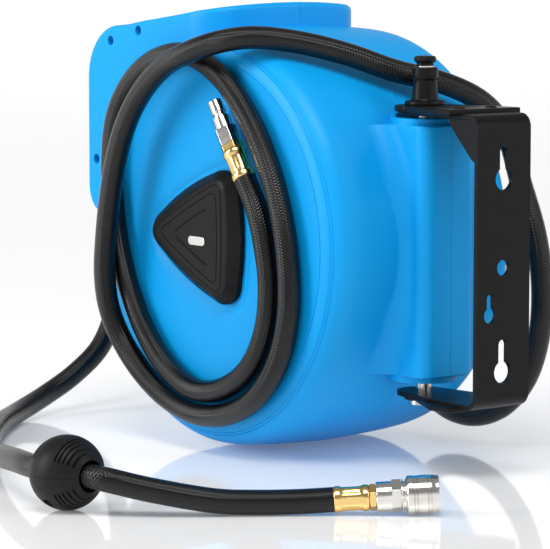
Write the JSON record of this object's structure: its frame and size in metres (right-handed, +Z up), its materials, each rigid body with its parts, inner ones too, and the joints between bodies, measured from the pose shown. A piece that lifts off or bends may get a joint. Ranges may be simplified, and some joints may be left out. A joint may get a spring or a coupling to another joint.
{
  "type": "spring-rewind air hose reel",
  "caption": "Spring-rewind air hose reel in a round moulded casing with a square outlet box, on a swivel wall bracket, with an inlet lead and an outlet hose.",
  "frame": {"origin": "on the bracket's wall face, midway between the seats of its two keyholes", "axes": "+Y out of the bracket's back into the wall, +Z up, +X along the drum's axis to the side with the triangular cap"},
  "size_m": [0.3947, 0.487, 0.2945],
  "materials": {
    "blue_plastic": "semi-gloss",
    "black_steel": "satin black coat",
    "black_plastic": "fine grained",
    "steel": "bright plated",
    "brass": "bright",
    "black_rubber": "braided cover",
    "grey_plastic": "moulded",
    "white_plastic": "moulded",
    "spring_steel": "oiled"
  },
  "bodies": {
    "bracket": {"wall_bracket": "black_steel", "top_plate": "black_steel", "bottom_plate": "black_steel", "plate_rivets": "black_steel", "pivot_stud": "steel", "plunger_body": "black_steel", "pin_spring": "spring_steel"},
    "pull_pin": {"locking_pin": "steel", "pull_knob": "black_plastic"},
    "casing": {"casing_left": "blue_plastic", "casing_right": "blue_plastic", "triangle_cap": "black_plastic", "cap_plate": "steel", "inlet_cover": "black_plastic", "casing_screws": "steel", "outlet_frame": "black_plastic", "roller_pins": "steel", "axle": "steel", "axle_nut": "steel", "spring_arbor": "spring_steel", "pawl_pin": "steel", "pawl_spring": "spring_steel", "hose_run": "black_rubber", "inlet_elbow": "brass", "inlet_ferrule": "brass", "lead_hose": "black_rubber", "lead_ferrule": "brass", "lead_adapter": "brass", "lead_plug": "steel", "delivery_hose": "black_rubber", "ball_half_a": "black_plastic", "ball_half_b": "black_plastic", "ball_screws": "steel", "delivery_ferrule": "brass", "coupler_adapter": "brass", "coupler_body": "steel", "coupler_spring": "spring_steel", "coupler_balls": "steel"},
    "drum": {"drum_core": "grey_plastic", "flange_left": "grey_plastic", "flange_right": "grey_plastic", "bush_left": "white_plastic", "bush_right": "white_plastic", "ratchet_ring": "spring_steel", "spring_case": "grey_plastic", "spring_case_lid": "grey_plastic", "power_spring": "spring_steel", "swivel_housing": "brass", "swivel_seals": "black_rubber", "hose_tail": "brass", "wound_hose": "black_rubber"},
    "pawl": {"pawl": "spring_steel"},
    "roller_top": {"roller_top": "steel"},
    "roller_bottom": {"roller_bottom": "steel"},
    "roller_left": {"roller_left": "steel"},
    "roller_right": {"roller_right": "steel"},
    "coupler_sleeve": {"coupler_sleeve": "steel"}
  },
  "joints": [
    {"name": "casing_swivel", "type": "hinge", "parent": "bracket", "child": "casing", "pos_m": [0, -0.075, -0.006], "axis": [0, 0, 1], "range_deg": [-35, 60]},
    {"name": "pin_pull", "type": "slide", "parent": "bracket", "child": "pull_pin", "axis": [0, 0, 1], "range_m": [0, 0.012], "stiffness_N_per_m": 1200, "springref_m": -0.004, "deforming": ["pin_spring"]},
    {"name": "drum_spin", "type": "hinge", "parent": "casing", "child": "drum", "pos_m": [0, -0.206, -0.006], "axis": [1, 0, 0], "continuous": true},
    {"name": "pawl_tilt", "type": "hinge", "parent": "casing", "child": "pawl", "pos_m": [-0.0585, -0.27, -0.0745], "axis": [1, 0, 0], "range_deg": [-10, 10], "stiffness_Nm_per_rad": 0.3},
    {"name": "roller_top_spin", "type": "hinge", "parent": "casing", "child": "roller_top", "pos_m": [0, -0.347, 0.06126], "axis": [1, 0, 0], "continuous": true},
    {"name": "roller_bottom_spin", "type": "hinge", "parent": "casing", "child": "roller_bottom", "pos_m": [0, -0.347, 0.03018], "axis": [1, 0, 0], "continuous": true},
    {"name": "roller_left_spin", "type": "hinge", "parent": "casing", "child": "roller_left", "pos_m": [0.014, -0.333, 0.045], "axis": [0, 0, 1], "continuous": true},
    {"name": "roller_right_spin", "type": "hinge", "parent": "casing", "child": "roller_right", "pos_m": [-0.014, -0.333, 0.045], "axis": [0, 0, 1], "continuous": true},
    {"name": "sleeve_slide", "type": "slide", "parent": "casing", "child": "coupler_sleeve", "axis": [0.7866, -0.6146, -0.0593], "range_m": [0, 0.003], "stiffness_N_per_m": 1200, "springref_m": -0.003}
  ]
}
